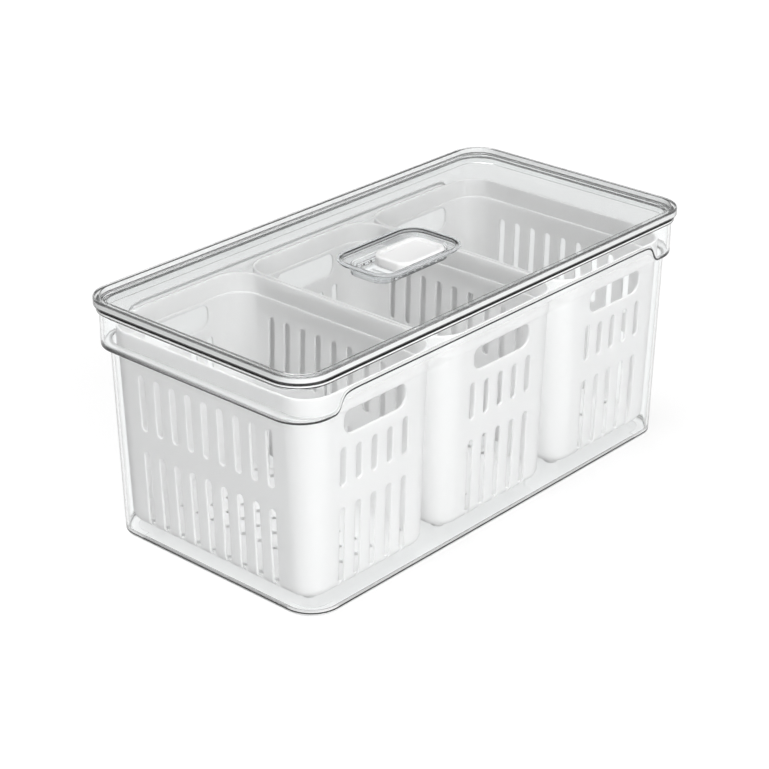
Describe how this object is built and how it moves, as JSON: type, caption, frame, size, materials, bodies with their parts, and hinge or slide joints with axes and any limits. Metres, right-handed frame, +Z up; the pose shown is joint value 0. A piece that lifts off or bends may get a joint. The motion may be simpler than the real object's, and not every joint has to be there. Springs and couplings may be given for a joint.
{
  "type": "produce keeper",
  "caption": "Long clear lidded bin with a sliding lid vent, holding white slotted baskets that lift out, each with a hand hole at both ends.",
  "frame": {"origin": "centre of the footprint, at the underside of the bin's feet", "axes": "+X along the length, towards the end where the vent slider rests; +Y across the width; +Z up through the lid"},
  "size_m": [0.3812, 0.1904, 0.1662],
  "materials": {
    "clear_bin": "clear, polished",
    "clear_lid": "clear, polished",
    "clear_vent": "clear, slightly grey, polished",
    "white_slider": "satin white",
    "white_basket": "satin white, moulded"
  },
  "bodies": {
    "keeper": {"bin": "clear_bin", "lid": "clear_lid", "vent_housing": "clear_vent", "basket_left": "white_basket", "basket_middle": "white_basket", "basket_right": "white_basket"},
    "slider": {"vent_slider": "white_slider"}
  },
  "joints": [
    {"name": "vent_slide", "type": "slide", "parent": "keeper", "child": "slider", "axis": [1, 0, 0], "range_m": [-0.021, 0]}
  ]
}
